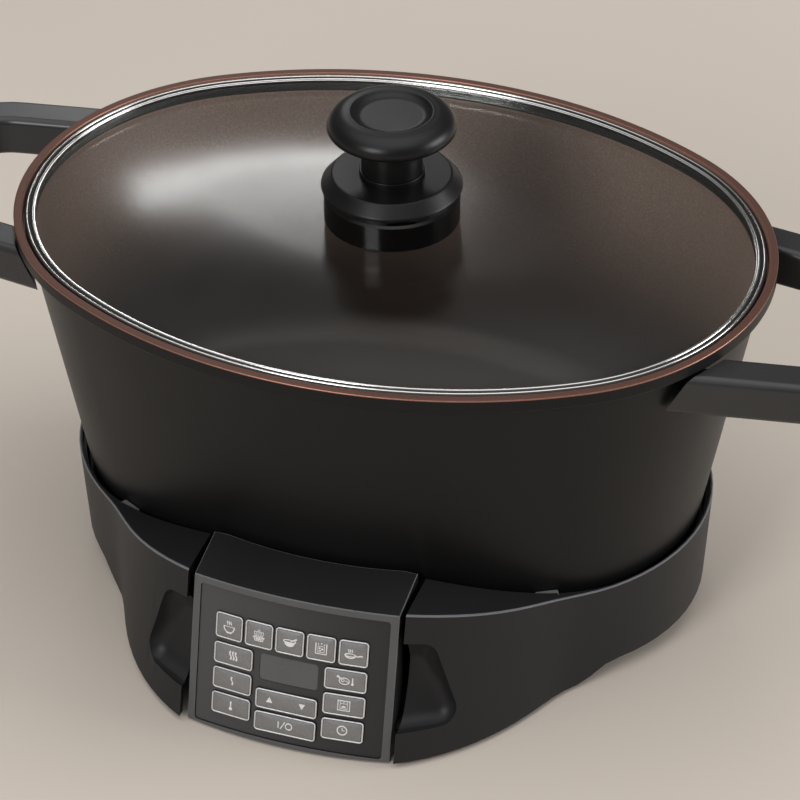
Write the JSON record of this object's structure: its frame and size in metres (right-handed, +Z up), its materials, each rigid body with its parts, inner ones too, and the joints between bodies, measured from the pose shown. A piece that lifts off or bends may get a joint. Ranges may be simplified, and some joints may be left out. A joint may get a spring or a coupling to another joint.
{
  "type": "multicooker",
  "caption": "Oval electric multicooker: a heated base with a bowed key panel, a lift-out pot with two loop handles and a lift-off glass lid with a knob.",
  "frame": {"origin": "on the table, under the middle of the whole object's box", "axes": "+X to the right along the pot's long side, through both handles; +Y to the back, so the panel faces -Y; +Z up"},
  "size_m": [0.464, 0.277, 0.2377],
  "materials": {
    "housing_black": "satin black moulding",
    "handle_black": "satin black moulding",
    "floor_black": "plain black moulding",
    "rubber_black": "matt black rubber",
    "sheet_steel": "plain sheet",
    "plate_aluminium": "turned",
    "plain_steel": "zinc plated",
    "pot_coat": "dark non-stick coat outside, copper-brown coat on the rim and inside",
    "fuse_cream": "cream",
    "board_green": "printed board",
    "terminal_white": "white",
    "locator_grey": "pale grey",
    "fascia_grey": "fine matt dark grey",
    "display_smoke": "smoked window",
    "key_silver": "satin silver",
    "band_steel": "polished",
    "lid_glass": "clear tempered",
    "collar_gloss": "gloss black",
    "knob_black": "satin black"
  },
  "bodies": {
    "base": {"base_housing": "housing_black", "well_liner": "sheet_steel", "base_floor": "floor_black", "rubber_feet": "rubber_black", "floor_screws": "plain_steel", "heating_plate": "plate_aluminium", "heater_tube": "plain_steel", "plate_posts": "plain_steel", "sensor_spring": "plain_steel", "thermal_fuse": "fuse_cream", "power_board": "board_green", "terminal_block": "terminal_white", "cord_gland": "rubber_black", "pot_locators": "locator_grey", "panel_frame": "housing_black", "panel_fascia": "fascia_grey", "display_window": "display_smoke", "display_module": "floor_black", "control_board": "board_green"},
    "pot": {"pot_body": "pot_coat", "handle_left": "handle_black", "handle_right": "handle_black", "handle_brackets": "pot_coat", "handle_screws": "plain_steel"},
    "lid": {"lid_band": "band_steel", "lid_glass": "lid_glass", "knob_collar": "collar_gloss", "knob_guard": "knob_black", "knob_head": "knob_black", "knob_screw": "plain_steel", "knob_washer": "rubber_black"},
    "sensor": {"sensor_cup": "plate_aluminium"},
    "key_soup": {"key_soup": "key_silver"},
    "key_steam": {"key_steam": "key_silver"},
    "key_stew": {"key_stew": "key_silver"},
    "key_water_bath": {"key_water_bath": "key_silver"},
    "key_fry": {"key_fry": "key_silver"},
    "key_high": {"key_high": "key_silver"},
    "key_low": {"key_low": "key_silver"},
    "key_warm": {"key_warm": "key_silver"},
    "key_roast": {"key_roast": "key_silver"},
    "key_bake": {"key_bake": "key_silver"},
    "key_timer": {"key_timer": "key_silver"},
    "key_power": {"key_power": "key_silver"},
    "up_down_rocker": {"key_up_down": "key_silver"}
  },
  "joints": [
    {"name": "pot_lift", "type": "slide", "parent": "base", "child": "pot", "axis": [0, 0, 1], "range_m": [0, 0.2]},
    {"name": "lid_lift", "type": "slide", "parent": "pot", "child": "lid", "axis": [0, 0, 1], "range_m": [0, 0.15]},
    {"name": "sensor_press", "type": "slide", "parent": "base", "child": "sensor", "axis": [0, 0, 1], "range_m": [-0.002, 0], "stiffness_N_per_m": 1500, "springref_m": 0.002, "deforming": ["sensor_spring"]},
    {"name": "key_soup_press", "type": "slide", "parent": "base", "child": "key_soup", "axis": [0.1352, 0.9666, -0.2178], "range_m": [0, 0.0008], "stiffness_N_per_m": 1500},
    {"name": "key_steam_press", "type": "slide", "parent": "base", "child": "key_steam", "axis": [0.0676, 0.9733, -0.2193], "range_m": [0, 0.0008], "stiffness_N_per_m": 1500},
    {"name": "key_stew_press", "type": "slide", "parent": "base", "child": "key_stew", "axis": [0, 0.9755, -0.2198], "range_m": [0, 0.0008], "stiffness_N_per_m": 1500},
    {"name": "key_water_bath_press", "type": "slide", "parent": "base", "child": "key_water_bath", "axis": [-0.0676, 0.9733, -0.2193], "range_m": [0, 0.0008], "stiffness_N_per_m": 1500},
    {"name": "key_fry_press", "type": "slide", "parent": "base", "child": "key_fry", "axis": [-0.1352, 0.9666, -0.2178], "range_m": [0, 0.0008], "stiffness_N_per_m": 1500},
    {"name": "key_high_press", "type": "slide", "parent": "base", "child": "key_high", "axis": [0.1224, 0.9682, -0.2182], "range_m": [0, 0.0008], "stiffness_N_per_m": 1500},
    {"name": "key_low_press", "type": "slide", "parent": "base", "child": "key_low", "axis": [0.1224, 0.9682, -0.2182], "range_m": [0, 0.0008], "stiffness_N_per_m": 1500},
    {"name": "key_warm_press", "type": "slide", "parent": "base", "child": "key_warm", "axis": [0.1224, 0.9682, -0.2182], "range_m": [0, 0.0008], "stiffness_N_per_m": 1500},
    {"name": "key_roast_press", "type": "slide", "parent": "base", "child": "key_roast", "axis": [-0.1224, 0.9682, -0.2182], "range_m": [0, 0.0008], "stiffness_N_per_m": 1500},
    {"name": "key_bake_press", "type": "slide", "parent": "base", "child": "key_bake", "axis": [-0.1224, 0.9682, -0.2182], "range_m": [0, 0.0008], "stiffness_N_per_m": 1500},
    {"name": "key_timer_press", "type": "slide", "parent": "base", "child": "key_timer", "axis": [-0.1224, 0.9682, -0.2182], "range_m": [0, 0.0008], "stiffness_N_per_m": 1500},
    {"name": "key_power_press", "type": "slide", "parent": "base", "child": "key_power", "axis": [0, 0.9755, -0.2198], "range_m": [0, 0.0008], "stiffness_N_per_m": 1500},
    {"name": "up_down_rock", "type": "hinge", "parent": "base", "child": "up_down_rocker", "pos_m": [0, -0.13034, 0.02147], "axis": [0, 0.2198, 0.9755], "range_deg": [-2, 2], "stiffness_Nm_per_rad": 0.5}
  ]
}
